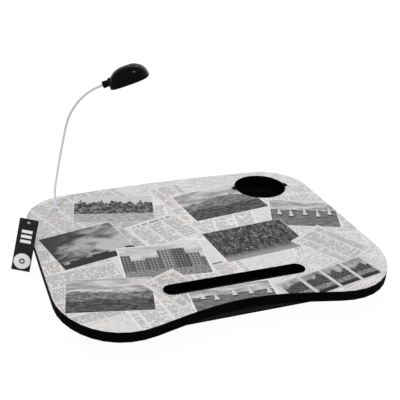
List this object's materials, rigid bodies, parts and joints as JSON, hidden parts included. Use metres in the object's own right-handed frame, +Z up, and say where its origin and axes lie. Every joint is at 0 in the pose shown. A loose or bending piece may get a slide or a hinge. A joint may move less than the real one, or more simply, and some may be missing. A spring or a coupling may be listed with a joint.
{
  "type": "cushioned lap tray with reading lamp",
  "caption": "Cushioned lap tray with a curved-in front, a lift-out cup well, a pen slot and a bendable gooseneck reading lamp.",
  "frame": {"origin": "on the flat underside of the cushion, at the middle of the board's width and of its plain depth", "axes": "+X to the sitter's right, +Y away from the sitter, +Z up"},
  "size_m": [0.5067, 0.3889, 0.2896],
  "materials": {
    "print": "printed film, satin, pale greys",
    "foam": "black closed-cell foam, matt",
    "panel": "black, matt",
    "cushion_fabric": "black woven polyester",
    "bead_fill": "foam beads",
    "black_plastic": "black, fine matt",
    "bright_metal": "bright plated",
    "pale_plastic": "pale translucent sleeve",
    "neck": "pale grey, satin",
    "gloss_black": "black, glossy",
    "lens": "clear, faintly frosted",
    "reflector": "bright coated plastic",
    "led": "clear yellowish",
    "circuit_board": "green solder mask",
    "cell_metal": "bright plated",
    "tag_card": "black printed card",
    "nylon": "natural nylon"
  },
  "bodies": {
    "base": {"print_sheet": "print", "foam_board": "foam", "base_panel": "panel", "cushion_top_panel": "cushion_fabric", "cushion_side_band": "cushion_fabric", "cushion_bottom_panel": "cushion_fabric", "bead_fill": "bead_fill", "lamp_socket": "bright_metal", "socket_nut": "bright_metal", "tag_pin": "nylon"},
    "cup": {"cup_insert": "black_plastic"},
    "lamp_foot": {"lamp_foot": "pale_plastic", "neck_link_0": "neck"},
    "neck_1": {"neck_link_1": "neck"},
    "neck_2": {"neck_link_2": "neck"},
    "neck_3": {"neck_link_3": "neck"},
    "neck_4": {"neck_link_4": "neck"},
    "neck_5": {"neck_link_5": "neck"},
    "lamp_head": {"neck_link_6": "neck", "head_shell": "gloss_black", "head_base": "gloss_black", "lens": "lens", "reflector": "reflector", "led": "led", "circuit_board": "circuit_board", "battery_cell_1": "cell_metal", "battery_cell_2": "cell_metal", "contact_plate": "cell_metal", "contact_clip": "cell_metal", "switch_body": "black_plastic"},
    "button": {"push_button": "gloss_black", "switch_plunger": "black_plastic"},
    "door": {"battery_door": "gloss_black"},
    "tag": {"tag_card": "tag_card"}
  },
  "joints": [
    {"name": "cup_lift", "type": "slide", "parent": "base", "child": "cup", "axis": [0, 0, 1], "range_m": [0, 0.03]},
    {"name": "lamp_swivel", "type": "hinge", "parent": "base", "child": "lamp_foot", "pos_m": [-0.184, 0.158, 0.0565], "axis": [0, 0, 1], "range_deg": [-170, 170]},
    {"name": "neck_bend_1", "type": "hinge", "parent": "lamp_foot", "child": "neck_1", "pos_m": [-0.18151, 0.15709, 0.10192], "axis": [0.342, 0.9397, 0], "range_deg": [-25, 15]},
    {"name": "neck_bend_2", "type": "hinge", "parent": "neck_1", "child": "neck_2", "pos_m": [-0.17634, 0.15521, 0.1315], "axis": [0.342, 0.9397, 0], "range_deg": [-25, 15]},
    {"name": "neck_bend_3", "type": "hinge", "parent": "neck_2", "child": "neck_3", "pos_m": [-0.1707, 0.15316, 0.16098], "axis": [0.342, 0.9397, 0], "range_deg": [-25, 15]},
    {"name": "neck_bend_4", "type": "hinge", "parent": "neck_3", "child": "neck_4", "pos_m": [-0.1646, 0.15094, 0.19036], "axis": [0.342, 0.9397, 0], "range_deg": [-25, 15]},
    {"name": "neck_bend_5", "type": "hinge", "parent": "neck_4", "child": "neck_5", "pos_m": [-0.15444, 0.14724, 0.2183], "axis": [0.342, 0.9397, 0], "range_deg": [-25, 15]},
    {"name": "neck_bend_6", "type": "hinge", "parent": "neck_5", "child": "lamp_head", "pos_m": [-0.13657, 0.14074, 0.24146], "axis": [0.342, 0.9397, 0], "range_deg": [-25, 15]},
    {"name": "button_press", "type": "slide", "parent": "lamp_head", "child": "button", "axis": [0.352, -0.1281, -0.9272], "range_m": [0, 0.0008], "stiffness_N_per_m": 300},
    {"name": "door_pull", "type": "slide", "parent": "lamp_head", "child": "door", "axis": [0.352, -0.1281, -0.9272], "range_m": [0, 0.01]},
    {"name": "tag_swing", "type": "hinge", "parent": "base", "child": "tag", "pos_m": [-0.24007, 0.05948, 0.09], "axis": [-0.9331, 0.2984, 0.2006], "range_deg": [0, 40]}
  ]
}
